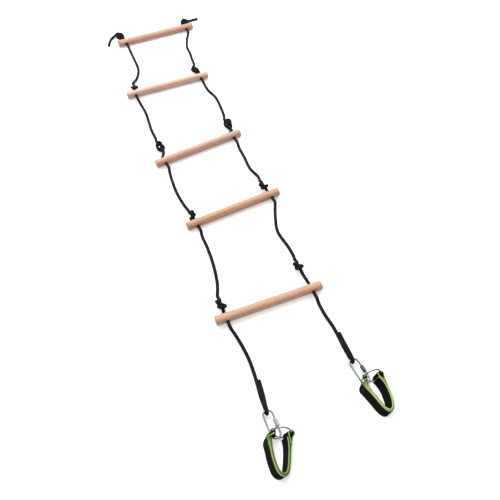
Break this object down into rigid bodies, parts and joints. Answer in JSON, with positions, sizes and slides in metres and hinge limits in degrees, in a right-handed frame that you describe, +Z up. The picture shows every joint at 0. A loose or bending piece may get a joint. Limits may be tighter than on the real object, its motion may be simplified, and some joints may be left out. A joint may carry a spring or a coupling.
{
  "type": "rope escape ladder",
  "caption": "Rope escape ladder laid flat: round wooden rungs held by knotted black rope, each rope ending in a sewn eye, a screw quick link, a wire ring and a padded strap loop.",
  "frame": {"origin": "centre of the ladder's footprint on the floor, the ladder laid out flat", "axes": "+Z up from the floor; +Y along the ladder from the strap loops to the loose rope ends; +X across it, along the rungs"},
  "size_m": [0.4358, 1.7997, 0.0476],
  "materials": {
    "rung_wood": "satin",
    "black_rope": "matte",
    "eye_thread": "matte",
    "zinc_steel": "satin",
    "nut_steel": "satin",
    "black_webbing": "matte",
    "lime_padding": "matte",
    "black_lining": "matte"
  },
  "bodies": {
    "ropes_1": {"left_rope_step_1": "black_rope", "right_rope_step_1": "black_rope"},
    "rung_1": {"rung_1": "rung_wood"},
    "ropes_2": {"left_rope_step_2": "black_rope", "right_rope_step_2": "black_rope"},
    "rung_2": {"rung_2": "rung_wood"},
    "ropes_3": {"left_rope_step_3": "black_rope", "right_rope_step_3": "black_rope"},
    "rung_3": {"rung_3": "rung_wood"},
    "ropes_4": {"left_rope_step_4": "black_rope", "right_rope_step_4": "black_rope"},
    "rung_4": {"rung_4": "rung_wood"},
    "ropes_5": {"left_rope_step_5": "black_rope", "right_rope_step_5": "black_rope"},
    "rung_5": {"rung_5": "rung_wood"},
    "left_lead": {"left_rope_lead": "black_rope", "left_eye_stitching": "eye_thread"},
    "left_link": {"left_link_body": "zinc_steel"},
    "left_nut": {"left_link_nut": "nut_steel"},
    "left_ring": {"left_ring": "zinc_steel"},
    "left_strap": {"left_strap_webbing": "black_webbing", "left_strap_pad": "lime_padding", "left_strap_lining": "black_lining"},
    "right_lead": {"right_rope_lead": "black_rope", "right_eye_stitching": "eye_thread"},
    "right_link": {"right_link_body": "zinc_steel"},
    "right_nut": {"right_link_nut": "nut_steel"},
    "right_ring": {"right_ring": "zinc_steel"},
    "right_strap": {"right_strap_webbing": "black_webbing", "right_strap_pad": "lime_padding", "right_strap_lining": "black_lining"}
  },
  "joints": [
    {"name": "fold_2", "type": "hinge", "parent": "ropes_3", "child": "ropes_2", "pos_m": [-0.0217, 0.48151, 0.013], "axis": [0.9997, 0.0262, 0], "range_deg": [-95, 95]},
    {"name": "fold_1", "type": "hinge", "parent": "ropes_2", "child": "ropes_1", "pos_m": [0.02874, 0.80152, 0.013], "axis": [-0.999, -0.0436, 0], "range_deg": [-95, 95]},
    {"name": "fold_3", "type": "hinge", "parent": "ropes_3", "child": "ropes_4", "pos_m": [-0.02409, 0.12971, 0.013], "axis": [0.9914, 0.1305, 0], "range_deg": [-95, 95]},
    {"name": "fold_4", "type": "hinge", "parent": "ropes_4", "child": "ropes_5", "pos_m": [-0.01495, -0.15638, 0.013], "axis": [-0.9954, -0.0958, 0], "range_deg": [-95, 95]},
    {"name": "rung_1_slide", "type": "slide", "parent": "ropes_1", "child": "rung_1", "axis": [-0.0436, 0.999, 0], "range_m": [-0.005, 0.0015]},
    {"name": "rung_2_slide", "type": "slide", "parent": "ropes_2", "child": "rung_2", "axis": [-0.0262, 0.9997, 0], "range_m": [-0.005, 0.0015]},
    {"name": "rung_3_slide", "type": "slide", "parent": "ropes_3", "child": "rung_3", "axis": [-0.1305, 0.9914, 0], "range_m": [-0.005, 0.0015]},
    {"name": "rung_4_slide", "type": "slide", "parent": "ropes_4", "child": "rung_4", "axis": [-0.0958, 0.9954, 0], "range_m": [-0.005, 0.0025]},
    {"name": "rung_5_slide", "type": "slide", "parent": "ropes_5", "child": "rung_5", "axis": [0, 1, 0], "range_m": [-0.005, 0.0025]},
    {"name": "left_lead_swing", "type": "hinge", "parent": "ropes_5", "child": "left_lead", "pos_m": [-0.04935, -0.4995, 0.013], "axis": [1, 0, 0], "range_deg": [-95, 95]},
    {"name": "left_link_pivot", "type": "hinge", "parent": "left_lead", "child": "left_link", "pos_m": [-0.17285, -0.7435, 0.0125], "axis": [0.9999, -0.0147, 0], "range_deg": [-100, 100]},
    {"name": "left_nut_slide", "type": "slide", "parent": "left_link", "child": "left_nut", "axis": [0.0147, 0.9973, 0.0719], "range_m": [0, 0.0115]},
    {"name": "left_ring_swing", "type": "hinge", "parent": "left_link", "child": "left_ring", "pos_m": [-0.17376, -0.80533, 0.00804], "axis": [0.9999, -0.0147, 0], "range_deg": [-1, 30]},
    {"name": "left_strap_roll", "type": "hinge", "parent": "left_ring", "child": "left_strap", "pos_m": [-0.16265, -0.808, 0.02403], "axis": [-0.3868, -0.9113, 0.1414], "range_deg": [-13, 0]},
    {"name": "right_lead_swing", "type": "hinge", "parent": "ropes_5", "child": "right_lead", "pos_m": [-0.04935, -0.4995, 0.013], "axis": [1, 0, 0], "range_deg": [-95, 95]},
    {"name": "right_link_pivot", "type": "hinge", "parent": "right_lead", "child": "right_link", "pos_m": [0.07265, -0.7005, 0.0125], "axis": [0.9955, 0.0952, 0], "range_deg": [-100, 100]},
    {"name": "right_nut_slide", "type": "slide", "parent": "right_link", "child": "right_nut", "axis": [-0.095, 0.9943, 0.0483], "range_m": [0, 0.0115]},
    {"name": "right_ring_swing", "type": "hinge", "parent": "right_link", "child": "right_ring", "pos_m": [0.07911, -0.76811, 0.00922], "axis": [0.9955, 0.0952, 0], "range_deg": [-2, 14]},
    {"name": "right_strap_roll", "type": "hinge", "parent": "right_ring", "child": "right_strap", "pos_m": [0.09385, -0.7619, 0.02403], "axis": [-0.0691, -0.9875, 0.1414], "range_deg": [-20, 1]}
  ]
}
